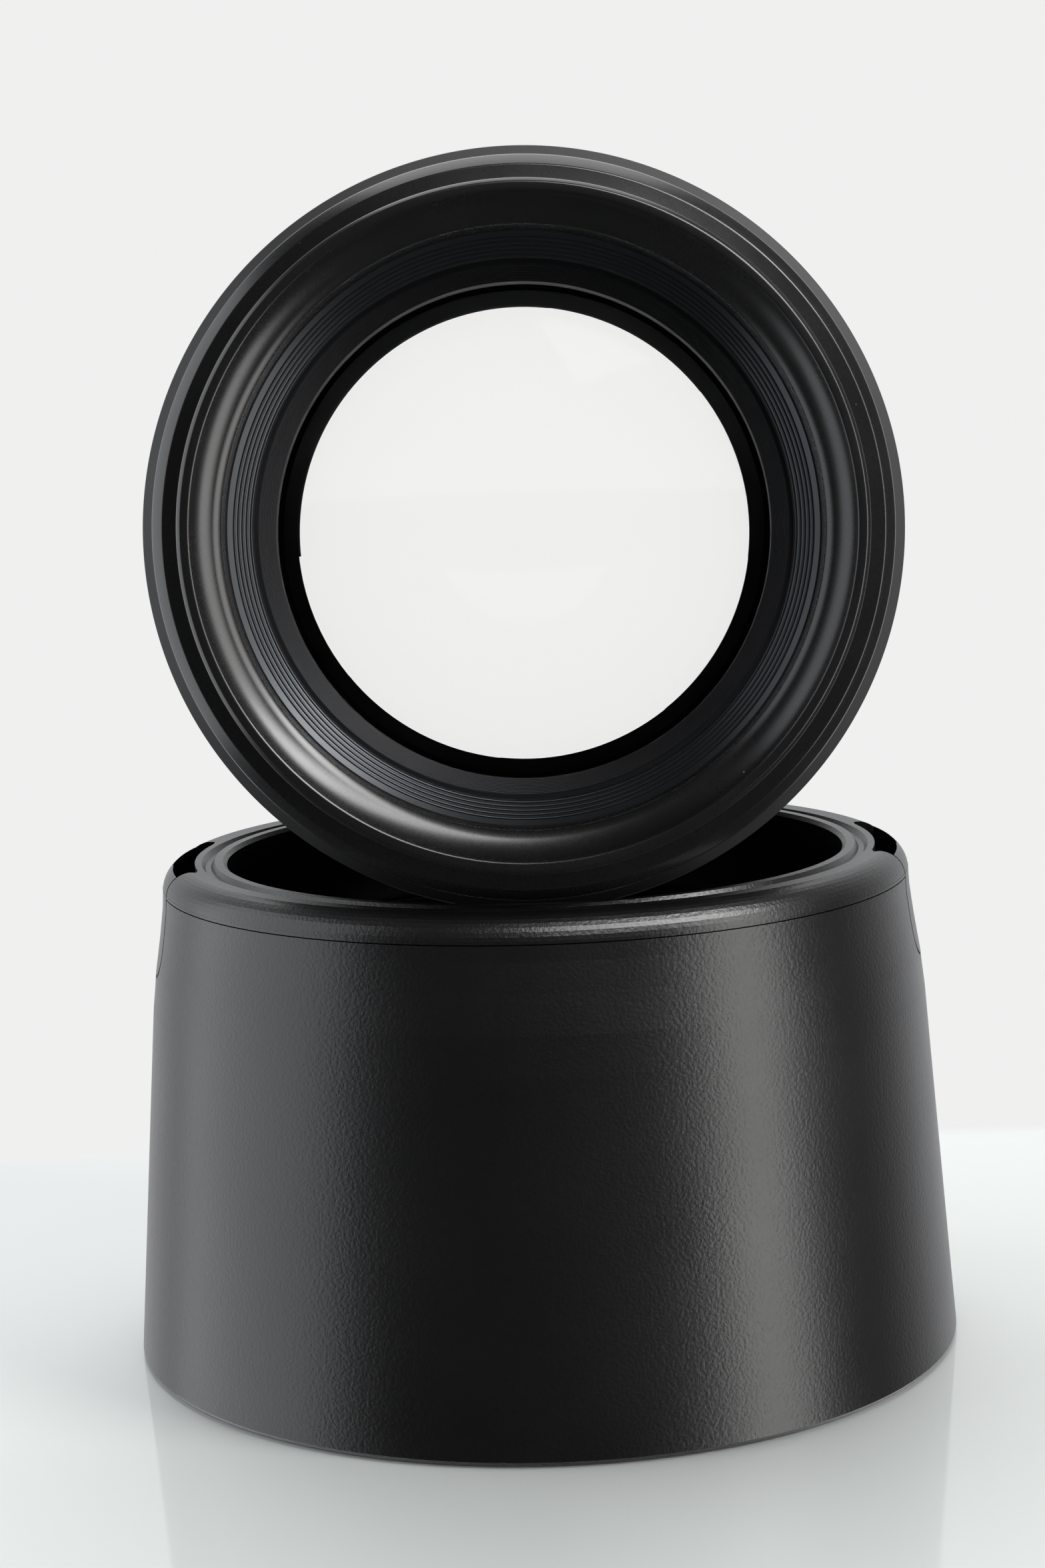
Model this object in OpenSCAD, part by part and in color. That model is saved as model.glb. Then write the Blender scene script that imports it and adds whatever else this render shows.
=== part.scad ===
// Portrait prime lens lying across the mouth of its own clip-on hood.
// Millimetres. The origin is on the table, on the hood's axis; +Z is up and the lens faces -Y.
// Lens pieces are drawn along their own axis, s = 0 at the front rim and s growing towards the mount.

/* [Hood] */
// Radius of the hood's wide mouth
hood_mouth_r = 44.4; // [42:0.1:48]
// Radius of the shell at the shoulder, where it starts to curve in
hood_shoulder_r = 41.5; // [40.8:0.1:42.5]
// Radius at the seam under the mount ring
hood_seam_r = 39.9; // [39.7:0.1:40.4]
// Height of the seam above the table
hood_seam_z = 50.2; // [50:0.1:50.4]
// Height of the hood
hood_h = 53; // [52.8:0.1:54]
// Radius of the opening that clips over the lens
hood_bore_r = 33; // [32.8:0.1:33.3]
// Travel of a release button
button_travel = 1; // [0.6:0.1:1]

/* [Lens] */
// Length from the front rim to the mounting flange
lens_len = 71.5; // [71.5:0.1:73]
// Largest radius of the barrel
barrel_r = 37.3; // [37.2:0.1:37.5]
// Radius of the front rim that the hood clips round
rim_r = 32.7; // [32.2:0.1:32.7]
// Minor radius of the filter thread
filter_r = 28.6; // [28.2:0.1:28.9]
// Tilt of the lens as it lies on the hood, mount end down
lens_tilt = 4.6; // [4.4:0.1:4.8]
// Place of the front rim's centre along Y
rim_y = -37.6; // [-37.8:0.1:-37.4]
// Height of the front rim's centre
rim_z = 89.5; // [89.5:0.1:95]

/* [Optics] */
// Front vertex of the first element, measured from the rim
glass_s = 9.4; // [9.2:0.1:9.6]
// Radius of the fully open iris
iris_open_r = 18.4; // [17:0.1:18.5]
// Number of iris blades
blade_count = 8; // [8:1:8]
// Turn of a blade from open to closed, in degrees
blade_turn = 34; // [20:1:34]

/* [Hidden] */
$fn = 96;
// Width of the flat ground round a hollow glass face
rim_flat = 0.3;
// Facets of the large spheres that bound the glass
fine = 360;

// Hood layout
hood_wall = 1.5;
lining_t = 0.5;
shelf_z = 42.9;
shelf_t = 1.5;
collar_t = 1.0;
cavity_r = 38.2;
slider_in = 35.4;
slider_out = 36.6;
slider_h = 1.8;
slider_low_z = shelf_z + shelf_t + 0.4;
slider_high_z = slider_low_z + slider_h + 0.3;
button_half_w = 9.5;
button_in = 38.75;
button_low_z = 41.5;
button_corner = 3;
thumb_r = 12.9;
thumb_x = 26;
thumb_z = 49.4;
notch_in = 36.4;
gap = 0.35;
// The lining stops short of the buttons' lower edges
lining_top_z = button_low_z - gap - 0.2;
claw_in = 32.1;
claw_half_w = 4.5;

// Lens layout along s
groove_s = 2.4;
bevel_s = 5.2;
ring_s = 12.3;
ring_end_s = 36.2;
main_end_s = 49.6;
flange_s = lens_len - 1.5;
window_s = 38.9;
window_len = 8.2;
window_half_w = 11.5;

// Iris layout
pivot_r = 26;
blade_in = iris_open_r + 0.2;
blade_out = 25;
blade_t = 0.12;
blade_pitch = 0.2;
blade_s = 30.85;
drive_s = blade_s + blade_count * blade_pitch + 0.1;
drive_t = 0.6;
cover_s = drive_s + drive_t + 0.2;
pin_x = 0.3;
pin_y = 3.2;
pin_r = 0.4;
// The drive ring turns half as far as the blades
ring_turn = blade_turn / 2;
gear_m = 0.5;
ring_teeth = 114;
pinion_teeth = 8;
motor_angle = 200;

// Focus layout
cam_turn = 60;
focus_travel = 3.2;
follower_s = 51.2;
follower_r = 1.2;

module in_lens()
  translate([0, rim_y, rim_z]) rotate([-90 - lens_tilt, 0, 0]) rotate(180) children();

module tube(ro, ri, z0, z1)
  translate([0, 0, z0]) difference() {
    cylinder(r = ro, h = z1 - z0);
    translate([0, 0, -1]) cylinder(r = ri, h = z1 - z0 + 2);
  }

module lathe(points) rotate_extrude() polygon(points);

module sector(ro, ri, z0, z1, a0, a1)
  translate([0, 0, z0]) rotate(a0) rotate_extrude(angle = a1 - a0)
    translate([ri, 0]) square([ro - ri, z1 - z0]);

// Points of a circular arc, for rounded corners of turned profiles
function arc(cx, cy, r, a0, a1, n = 6) =
  [for (i = [0:n]) [cx + r * cos(a0 + (a1 - a0) * i / n), cy + r * sin(a0 + (a1 - a0) * i / n)]];

function sag(radius, h) = abs(radius) - sqrt(radius * radius - h * h);

// ---------------------------------------------------------------- hood

hood_outline = concat(
  [[hood_mouth_r - 0.5, 0], [hood_mouth_r, 0.5], [hood_shoulder_r, 37.5]],
  [[hood_shoulder_r - 0.45, 41.5], [hood_shoulder_r - 1.1, 45.5], [hood_seam_r + 0.1, 48.5]]);

cap_outline = concat(
  [[hood_seam_r, hood_seam_z], [hood_seam_r, hood_seam_z + 0.3]],
  arc(hood_seam_r - 2.8, hood_h - 2.8, 2.8, 5, 82, 8),
  [[35.7, hood_h - 0.1], [35.3, hood_h - 0.6], [34.7, hood_h - 0.6], [34.3, hood_h]],
  [[hood_bore_r + 0.4, hood_h], [hood_bore_r, hood_h - 0.4]]);

// A block with rounded lower corners, standing where a button shows through the wall
module button_block(clear) {
  half = button_half_w + clear;
  low = button_low_z - clear;
  corner = button_corner + clear;
  translate([notch_in - 1, 0, 0]) {
    translate([0, -half, low + corner]) cube([8, 2 * half, hood_h]);
    translate([0, corner - half, low]) cube([8, 2 * (half - corner), hood_h]);
    for (side = [-1, 1]) translate([0, side * (half - corner), low + corner]) rotate([0, 90, 0])
      cylinder(r = corner, h = 8);
  }
}

module hood_shell_body()
  lathe(concat(hood_outline, [
    [hood_seam_r, hood_seam_z - 0.12], [cavity_r, hood_seam_z - 0.12], [cavity_r, shelf_z + shelf_t],
    [hood_bore_r + 0.2, shelf_z + shelf_t], [hood_bore_r + 0.2, shelf_z],
    [hood_shoulder_r - hood_wall - 0.6, shelf_z],
    [hood_shoulder_r - hood_wall, 37], [hood_mouth_r - hood_wall, 0.6], [hood_mouth_r - 1.2, 0]]));

module button_windows()
  for (side = [0, 180]) rotate(side) intersection() {
    button_block(gap);
    tube(60, notch_in, 0, hood_h + 1);
  }

module hood_shell() color([0.05, 0.05, 0.055]) difference() {
  hood_shell_body();
  button_windows();
}

module hood_lining() color([0.02, 0.02, 0.02])
  lathe([
    [hood_mouth_r - hood_wall - 0.1, 1.2], [hood_shoulder_r - hood_wall - 0.05, 37],
    [hood_shoulder_r - hood_wall - 0.5, lining_top_z], [hood_shoulder_r - hood_wall - 0.5 - lining_t, lining_top_z],
    [hood_shoulder_r - hood_wall - 0.05 - lining_t, 37],
    [hood_mouth_r - hood_wall - 0.1 - lining_t, 1.2]]);

module claw_slots()
  for (side = [0, 1]) rotate(side * 180)
    translate([hood_bore_r - 1, -claw_half_w - gap, (side == 0 ? slider_low_z : slider_high_z) - 0.2])
      cube([2.6, 2 * (claw_half_w + gap), slider_h + 0.4]);

module hood_mount_ring() color([0.05, 0.05, 0.055]) difference() {
  lathe(concat(cap_outline, [
    [hood_bore_r, shelf_z + shelf_t], [hood_bore_r + collar_t, shelf_z + shelf_t],
    [hood_bore_r + collar_t, hood_seam_z + 1.2], [cavity_r, hood_seam_z + 1.2],
    [cavity_r, hood_seam_z]]));
  button_windows();
  claw_slots();
}

// A button, its sliding ring and the claw on the far side are one moulding
module hood_slider(ring_z) {
  tube(slider_out, slider_in, ring_z, ring_z + slider_h);
  translate([slider_out - 0.6, -6, ring_z]) cube([3.2, 12, slider_h]);
  intersection() {
    button_block(0);
    difference() {
      lathe(concat(hood_outline, cap_outline, [[20, hood_h - 1], [20, 0]]));
      translate([0, 0, -1]) cylinder(r = button_in, h = hood_h + 2);
      // Hollow for a fingertip behind the button's upper edge
      translate([thumb_x, 0, thumb_z]) cylinder(r = thumb_r, h = 10);
    }
  }
  intersection() {
    translate([-slider_in - 0.6, -claw_half_w, ring_z]) cube([5, 2 * claw_half_w, slider_h]);
    tube(slider_out, claw_in, ring_z, ring_z + slider_h);
  }
}

module hood_button_right() color([0.06, 0.06, 0.065]) hood_slider(slider_high_z);
module hood_button_left() color([0.06, 0.06, 0.065]) rotate(180) hood_slider(slider_low_z);

// Leaf springs press each sliding ring away from the wall beside its claw
module leaf_spring(z0) for (a = [-40, 18])
  sector(cavity_r - 0.1, cavity_r - 0.35, z0 + 0.3, z0 + slider_h - 0.3, a, a + 22);
module hood_spring_right() color("silver") rotate(180) leaf_spring(slider_high_z);
module hood_spring_left() color("silver") leaf_spring(slider_low_z);

// ---------------------------------------------------------------- barrel

module front_ring() color([0.06, 0.06, 0.065]) in_lens() lathe(concat(
  [[rim_r - 0.4, 0], [rim_r, 0.4], [rim_r, groove_s], [31.6, groove_s + 0.2], [31.6, bevel_s - 0.2]],
  [[34.6, bevel_s], [35.65, 6.3], [35.75, 6.8], [35.75, 10.4], [37.2, 11.4], [37.2, ring_s - 0.3]],
  [[34.4, ring_s - 0.3], [34.4, 8.2], [30.4, 7.6], [30.4, 6.9], [filter_r, 6.9], [filter_r, 2.45]],
  arc(27.42, -2.5, 4.8, 67, 38, 6),
  [[31.6, 0]]));

module front_retainer() color([0.04, 0.04, 0.045]) in_lens()
  lathe([[28.5, 7.0], [30.3, 7.0], [30.3, 7.5], [28.9, 7.5], [28.9, 9.6], [26.3, 9.6], [26.1, 8.9],
    [26.7, 8.7], [26.7, 8.2], [27.4, 8.0], [27.4, 7.5], [28.1, 7.3]]);

module front_barrel() color([0.12, 0.12, 0.13]) in_lens() {
  tube(34.3, 33.4, 8.4, 40.2);
  tube(33.5, 27.0, 18.6, 19.6);
}

module focus_ring() color([0.07, 0.07, 0.075]) in_lens() {
  tube(36.4, 34.8, ring_s, ring_end_s);
  tube(37.1, 36.3, ring_s, ring_s + 1.2);
  tube(37.1, 36.3, ring_end_s - 1.2, ring_end_s);
}

module focus_grip() color([0.03, 0.03, 0.03]) in_lens()
  tube(barrel_r, 36.4, ring_s + 1.25, ring_end_s - 1.25);

module main_barrel() color([0.06, 0.06, 0.065]) in_lens() difference() {
  union() {
    tube(37.1, 35.6, ring_end_s + 0.35, main_end_s);
    tube(35.7, 34.3, ring_end_s + 0.35, ring_end_s + 1.8);
  }
  translate([-window_half_w, 30, window_s]) cube([2 * window_half_w, 10, window_len]);
}

module scale_window() color([0.7, 0.8, 0.85, 0.4]) in_lens() intersection() {
  tube(36.8, 36.0, window_s, window_s + window_len);
  translate([-window_half_w, 30, window_s]) cube([2 * window_half_w, 10, window_len]);
}

switch_s = 57;
module on_left() rotate(-8) children();
module switch_pocket(clear, r)
  on_left() translate([r, -4.5 - clear, switch_s - 6.5 - clear])
    cube([10, 9 + 2 * clear, 13 + 2 * clear]);

module rear_barrel() color([0.06, 0.06, 0.065]) in_lens() difference() {
  lathe([[37.0, main_end_s + 0.05], [36.6, 53], [36.4, 60.5], [35.4, 64.5], [33.4, 67], [33.0, flange_s],
    [27.4, flange_s], [27.4, flange_s - 1.4], [31.6, flange_s - 1.4], [31.6, 67], [33.4, 64], [34.6, 60],
    [34.8, 57.4], [30.0, 57.4], [30.0, 56.2], [34.8, 56.2], [34.8, 48.5], [35.55, 48.5],
    [35.55, main_end_s + 0.05]]);
  switch_pocket(0, 35.3);
  index_hole();
}

module switch_plate() color([0.04, 0.04, 0.045]) in_lens() difference() {
  intersection() {
    translate([0, 0, switch_s - 7]) cylinder(r = 36.3, h = 14);
    switch_pocket(-0.02, 35.35);
  }
  on_left() translate([34, -1.7, switch_s - 4.2]) cube([5, 3.4, 8.4]);
}

module focus_switch() color([0.08, 0.08, 0.085]) in_lens() on_left() {
  translate([35.5, -1.4, switch_s - 3.9]) cube([1.5, 2.8, 3.6]);
  translate([36.9, -1.4, switch_s - 3.0]) cube([0.7, 2.8, 1.8]);
}

index_s = 66;
module index_hole() rotate(90) translate([32, 0, index_s]) rotate([0, 90, 0]) cylinder(r = 1.1, h = 6);
module index_dot() color([0.75, 0.05, 0.05]) in_lens()
  rotate(90) translate([32.2, 0, index_s]) rotate([0, 90, 0]) cylinder(r = 1.08, h = 2.4);

// ---------------------------------------------------------------- mount

screw_pcd_r = 28.7;
// Edge of the flat land that meets the camera; the flange steps down outside it
land_r = 30.3;
module screw_places() for (i = [0:3]) rotate(45 + 90 * i) translate([screw_pcd_r, 0, 0]) children();

module bayonet_mount() color([0.75, 0.75, 0.76]) in_lens() difference() {
  union() {
    lathe([[32.4, flange_s], [32.4, lens_len - 0.6], [land_r + 0.4, lens_len - 0.4], [land_r, lens_len],
      [25.2, lens_len], [25.2, lens_len + 4.4], [23.4, lens_len + 4.4], [23.4, flange_s]]);
    for (a = [35, 155, 275]) sector(27.0, 25.1, lens_len + 2.4, lens_len + 3.9, a, a + 52);
  }
  screw_places() translate([0, 0, flange_s - 1]) cylinder(r = 0.85, h = 5);
  screw_places() translate([0, 0, lens_len - 0.7]) cylinder(r1 = 0.85, r2 = 1.55, h = 0.8);
  rotate(10) translate([screw_pcd_r, 0, flange_s - 1]) cylinder(r = 1.0, h = 5);
}

module mount_screws() color([0.65, 0.65, 0.66]) in_lens() screw_places() difference() {
  union() {
    translate([0, 0, lens_len - 0.66]) cylinder(r1 = 0.8, r2 = 1.4, h = 0.6);
    translate([0, 0, flange_s + 0.05]) cylinder(r = 0.8, h = 0.9);
  }
  for (a = [0, 90]) rotate(a) translate([-0.8, -0.14, lens_len - 0.4]) cube([1.6, 0.28, 1]);
}

module rear_baffle() color([0.02, 0.02, 0.02]) in_lens() difference() {
  union() {
    tube(23.35, 20.6, flange_s + 0.2, lens_len + 4.0);
    tube(23.35, 17.2, lens_len + 2.8, lens_len + 4.0);
  }
  contact_pocket(0.02);
}

contact_mid = 270;
module contact_pocket(clear)
  sector(23.5 + clear, 19.4 - clear, lens_len + 1.0, lens_len + 6, contact_mid - 36, contact_mid + 36);

module contact_block() color([0.03, 0.03, 0.03]) in_lens() difference() {
  sector(23.3, 19.5, lens_len + 1.1, lens_len + 4.6, contact_mid - 35.5, contact_mid + 35.5);
  contact_places() cylinder(r = 0.75, h = 10);
}

module contact_places()
  for (i = [0:7]) rotate(contact_mid - 30 + 60 * i / 7) translate([21.5, 0, lens_len + 2]) children();

module contact_pins() color([0.85, 0.68, 0.3]) in_lens() contact_places() {
  cylinder(r = 0.75, h = 2.75);
  translate([0, 0, 2.75]) intersection() {
    sphere(r = 0.75);
    cylinder(r = 0.75, h = 1);
  }
}

module main_board() color([0.05, 0.3, 0.12]) in_lens() {
  tube(31.2, 23.6, 66.2, 67.2);
  for (a = [20, 75, 130, 215, 300]) rotate(a) translate([28.5, -2, 65.1]) cube([2.6, 4, 1.2]);
}

// ---------------------------------------------------------------- optics

// One spherical lens: radius of the rim, then place and curvature radius of the front and back faces.
// A curvature centre behind the face is positive; zero is a flat face.
module lens(r, s0, c0, s1, c1, flat_back = 0) {
  start = c0 < 0 ? s0 - sag(c0, r - rim_flat) : s0;
  end = flat_back > 0 ? flat_back : (c1 > 0 ? s1 + sag(c1, r - rim_flat) : s1);
  difference() {
    intersection() {
      translate([0, 0, start]) cylinder(r = r, h = end - start);
      if (c0 > 0) translate([0, 0, s0 + c0]) sphere(r = c0, $fn = fine);
      if (c1 < 0) translate([0, 0, s1 + c1]) sphere(r = -c1, $fn = fine);
    }
    if (c0 < 0) translate([0, 0, s0 + c0]) sphere(r = -c0, $fn = fine);
    if (c1 > 0) translate([0, 0, s1 + c1]) sphere(r = c1, $fn = fine);
  }
}

glass = [0.75, 0.85, 0.9, 0.35];
module lens_element_1() color(glass) in_lens() lens(24.8, glass_s, 72, glass_s + 4.4, 178);
module lens_element_2() color(glass) in_lens() lens(23.0, glass_s + 4.9, 31.6, glass_s + 11.4, 58.6);
module lens_element_3() color(glass) in_lens()
  lens(22.0, glass_s + 13.0, 83.5, glass_s + 15.1, 39, glass_s + 20.4);
module lens_element_4() color(glass) in_lens() lens(18.7, glass_s + 31.7, -55, glass_s + 33.3, 52);
module lens_element_5() color(glass) in_lens() lens(18.7, glass_s + 33.3, 52, glass_s + 39.0, -112);
module lens_element_6() color(glass) in_lens() lens(18.7, glass_s + 40.2, -79.5, glass_s + 41.7, -210);
module lens_element_7() color(glass) in_lens() lens(18.7, glass_s + 41.7, -210, glass_s + 46.6, -42);
module lens_element_8() color(glass) in_lens() lens(18.4, glass_s + 48.0, 58, glass_s + 52.7, -284);
module lens_element_9() color(glass) in_lens() lens(17.2, glass_s + 55.7, -50.5, glass_s + 58.5, 0);

module front_cell() color([0.03, 0.03, 0.035]) in_lens() {
  lathe([[25.9, 9.8], [27.0, 9.8], [27.0, 19.7], [26.2, 19.7], [26.2, 30.2], [22.1, 30.2], [22.1, 25.9],
    [23.1, 25.8], [23.1, 24.2], [24.6, 23.6], [24.9, 15.8], [24.9, 13.9], [24.3, 13.5], [25.7, 9.9]]);
}

module front_spacer() color([0.03, 0.03, 0.035]) in_lens()
  lathe([[24.7, 15.75], [24.3, 15.75], [23.5, 21.6], [23.2, 23.5], [24.5, 23.5]]);

module focus_cell() color([0.04, 0.04, 0.045]) in_lens() difference() {
  union() {
    lathe([[18.8, 37.4], [20.8, 37.4], [20.8, 66.0], [17.3, 66.0], [17.3, 62.0], [18.5, 61.8], [18.5, 60.2],
      [18.8, 59.6]]);
    tube(26.8, 20.7, follower_s - 2.2, follower_s + 2.2);
  }
  for (a = [60, 180, 300]) rotate(a) translate([23.9, 0, follower_s - 4]) cylinder(r = 2.2, h = 8);
  for (a = [0, 120, 240]) rotate(a) translate([22, 0, follower_s]) rotate([0, 90, 0])
    cylinder(r = 0.8, h = 6);
}

module cell_retainer() color([0.03, 0.03, 0.035]) in_lens() {
  lathe([[17.3, 66.05], [20.8, 66.05], [20.8, 67.6], [18.4, 68.3], [16.6, 68.3], [16.6, 67.95], [17.3, 67.95]]);
}

// ---------------------------------------------------------------- iris

module iris_base() color([0.08, 0.08, 0.08]) in_lens() {
  tube(29.4, 18.9, 30.2, 30.7);
  for (i = [0:blade_count - 1]) rotate(45 * i) translate([pivot_r, 0, 30.6])
    cylinder(r = 0.5, h = blade_count * blade_pitch + 0.25);
  for (a = [100, 280]) sector(29.4, 28.9, 30.6, cover_s, a - 20, a + 20);
}

// A blade is a crescent that turns on a post of the base plate
module iris_blade(i) color([0.1, 0.1, 0.11]) in_lens() rotate(45 * i) {
  s = blade_s + i * blade_pitch;
  difference() {
    union() {
      sector(blade_out, blade_in, s, s + blade_t, -4, 98);
      translate([pivot_r, 0, s]) cylinder(r = 1.3, h = blade_t);
      translate([pivot_r + pin_x, pin_y, s]) cylinder(r = 0.9, h = blade_t);
      translate([pivot_r - 2.2, 0, s]) cube([2.6, pin_y, blade_t]);
    }
    translate([pivot_r, 0, s - 1]) cylinder(r = 0.55, h = 2);
  }
  translate([pivot_r + pin_x, pin_y, s]) cylinder(r = pin_r, h = drive_s + drive_t - s);
}
module iris_blade_1() iris_blade(0);
module iris_blade_2() iris_blade(1);
module iris_blade_3() iris_blade(2);
module iris_blade_4() iris_blade(3);
module iris_blade_5() iris_blade(4);
module iris_blade_6() iris_blade(5);
module iris_blade_7() iris_blade(6);
module iris_blade_8() iris_blade(7);

function turned(p, a) = [p[0] * cos(a) - p[1] * sin(a), p[0] * sin(a) + p[1] * cos(a)];
// Place of a blade's drive pin, seen from the turning ring, for blade angle a
function pin_path(a) = turned([pivot_r, 0], -a / 2) + turned([pin_x, pin_y], a / 2);
slot_steps = 6;
slot_w = pin_r + 0.2;

// The pin's path runs a little past both ends of its travel
function slot_point(k, side) =
  let (span = blade_turn + 5, a = -2.5 + span * k / slot_steps,
       p = pin_path(a), q = pin_path(a + 0.1), dir = (q - p) / norm(q - p))
  p + side * slot_w * [-dir[1], dir[0]];

module drive_slot() polygon(concat(
  [for (k = [0:slot_steps]) slot_point(k, 1)],
  [for (k = [slot_steps:-1:0]) slot_point(k, -1)]));

// Slender straight-flanked teeth, thinner than the gaps so that they never bind
function gear_outline(teeth, r_pitch, turn) = [for (i = [0:teeth - 1]) for (c = [0:3])
  let (w = [0.27, 0.13, -0.13, -0.27][c] * 360 / teeth * -1,
       r = r_pitch + (c == 1 || c == 2 ? 0.75 : -1.05) * gear_m)
  [r * cos(turn + i * 360 / teeth + w), r * sin(turn + i * 360 / teeth + w)]];

ring_pitch_r = ring_teeth * gear_m / 2;
pinion_pitch_r = pinion_teeth * gear_m / 2;

module iris_drive_ring() color([0.5, 0.4, 0.2]) in_lens() translate([0, 0, drive_s])
  linear_extrude(drive_t) difference() {
    union() {
      circle(r = 27.9);
      intersection() {
        polygon(gear_outline(ring_teeth, ring_pitch_r, motor_angle));
        rotate(motor_angle) polygon([[0, 0], [40, -18], [40, 18]]);
      }
    }
    circle(r = 21.5);
    for (i = [0:blade_count - 1]) rotate(45 * i) drive_slot();
  }

module iris_cover() color([0.08, 0.08, 0.08]) in_lens() tube(29.4, 18.9, cover_s, cover_s + 0.4);

module at_motor() rotate(motor_angle) translate([ring_pitch_r + pinion_pitch_r, 0, 0]) children();

module aperture_pinion() color([0.8, 0.65, 0.3]) in_lens() at_motor() {
  translate([0, 0, drive_s - 0.1]) linear_extrude(drive_t + 0.2)
    polygon(gear_outline(pinion_teeth, pinion_pitch_r, 180 / pinion_teeth));
  translate([0, 0, 29.2]) cylinder(r = 0.6, h = drive_s - 29.2);
}

module aperture_motor() color([0.55, 0.55, 0.57]) in_lens() at_motor() difference() {
  union() {
    translate([0, 0, 19.6]) cylinder(r = 2.7, h = 9.2);
    translate([0, 0, 28.7]) cylinder(r = 1.3, h = 0.8);
  }
  translate([0, 0, 28]) cylinder(r = 0.66, h = 3);
}

// ---------------------------------------------------------------- focus drive

module guide_barrel() color([0.6, 0.6, 0.62]) in_lens() difference() {
  union() {
    tube(28.3, 27.2, cover_s + 0.4, 66.1);
    tube(33.4, 28.2, 35.6, 36.4);
  }
  for (a = [0, 120, 240]) rotate(a) translate([24, -follower_r - 0.1, follower_s - focus_travel - 1.6])
    cube([6, 2 * follower_r + 0.2, focus_travel + 3.2]);
}

cam_steps = 10;
module cam_barrel() color([0.62, 0.58, 0.5]) in_lens() difference() {
  tube(29.7, 28.36, 44.6, 56.6);
  // Three sloping cam slots, each cut as a run of short sectors
  for (a = [0, 120, 240]) for (k = [0:cam_steps]) {
    turn = -cam_turn * k / cam_steps;
    s = follower_s - focus_travel * k / cam_steps;
    sector(31, 27, s - follower_r - 0.35, s + follower_r + 0.35, a + turn - 5.1, a + turn + 5.3);
  }
}

module roller_ring() color([0.7, 0.7, 0.72]) in_lens() {
  tube(31.0, 29.7, 45.0, 49.0);
  tube(34.9, 30.9, 46.6, 47.4);
  for (a = [30, 150, 270]) rotate(a) translate([30.8, 0, 48.3]) rotate([0, 90, 0]) cylinder(r = 1.0, h = 3);
}

module distance_scale() color([0.04, 0.04, 0.045]) in_lens() tube(35.4, 34.9, 38.6, 48.0);

module usm_rotor() color([0.65, 0.65, 0.67]) in_lens() tube(31.5, 30.2, 50.1, 52.2);
module usm_stator() color([0.75, 0.6, 0.35]) in_lens() tube(33.9, 30.2, 52.3, 55.2);
module wave_spring() color("silver") in_lens() tube(33.2, 31.0, 55.3, 56.1);

module cam_followers() color([0.8, 0.7, 0.4]) in_lens() for (a = [0, 120, 240]) rotate(a)
  translate([0, 0, follower_s]) rotate([0, 90, 0]) {
    translate([0, 0, 22.2]) cylinder(r = 0.8, h = 5);
    translate([0, 0, 26.85]) cylinder(r = follower_r, h = 2.6);
  }

hood_shell();
hood_lining();
hood_mount_ring();
hood_button_left();
hood_button_right();
hood_spring_left();
hood_spring_right();
front_ring();
front_retainer();
front_barrel();
focus_ring();
focus_grip();
main_barrel();
scale_window();
switch_plate();
focus_switch();
rear_barrel();
bayonet_mount();
mount_screws();
index_dot();
rear_baffle();
contact_block();
contact_pins();
main_board();
front_cell();
front_spacer();
lens_element_1();
lens_element_2();
lens_element_3();
iris_base();
iris_blade_1();
iris_blade_2();
iris_blade_3();
iris_blade_4();
iris_blade_5();
iris_blade_6();
iris_blade_7();
iris_blade_8();
iris_drive_ring();
iris_cover();
aperture_motor();
aperture_pinion();
guide_barrel();
cam_barrel();
roller_ring();
distance_scale();
usm_stator();
usm_rotor();
wave_spring();
focus_cell();
cam_followers();
cell_retainer();
lens_element_4();
lens_element_5();
lens_element_6();
lens_element_7();
lens_element_8();
lens_element_9();
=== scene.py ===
# A portrait prime lens lying across the mouth of its own clip-on hood.
# Everything is in metres in the frame's own axes; sizes written in the dictionaries are millimetres.
import math

import bmesh
import bpy
from mathutils import Matrix, Vector


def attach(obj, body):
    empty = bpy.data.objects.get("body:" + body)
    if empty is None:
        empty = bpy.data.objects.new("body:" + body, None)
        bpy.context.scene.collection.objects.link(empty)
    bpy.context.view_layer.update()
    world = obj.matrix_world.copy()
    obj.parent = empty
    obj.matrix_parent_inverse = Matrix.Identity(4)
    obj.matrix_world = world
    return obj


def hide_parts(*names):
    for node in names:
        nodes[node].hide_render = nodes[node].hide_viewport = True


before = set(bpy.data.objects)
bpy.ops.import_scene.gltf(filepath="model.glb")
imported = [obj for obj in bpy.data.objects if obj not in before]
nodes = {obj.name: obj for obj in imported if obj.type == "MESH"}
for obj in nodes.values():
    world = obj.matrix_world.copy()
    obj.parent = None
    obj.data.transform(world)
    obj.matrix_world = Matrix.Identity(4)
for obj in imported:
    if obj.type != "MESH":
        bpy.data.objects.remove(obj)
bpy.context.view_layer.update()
mm = 0.001
print("frame loaded:", len(nodes), "nodes")

# where things lie

lensPose = {"rim": (0.0, -37.6, 89.5), "tilt": 4.6}

tiltCos = math.cos(math.radians(lensPose["tilt"]))
tiltSin = math.sin(math.radians(lensPose["tilt"]))
rimPoint = Vector(lensPose["rim"]) * mm
lensAxis = Vector((0, tiltCos, -tiltSin))  # from the front rim towards the mount
lensUp = Vector((0, tiltSin, tiltCos))
lensSide = Vector((-1, 0, 0))
lensPlace = Matrix((
    (lensSide.x, lensUp.x, lensAxis.x, rimPoint.x),
    (lensSide.y, lensUp.y, lensAxis.y, rimPoint.y),
    (lensSide.z, lensUp.z, lensAxis.z, rimPoint.z),
    (0, 0, 0, 1)))


# shader maths

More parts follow.
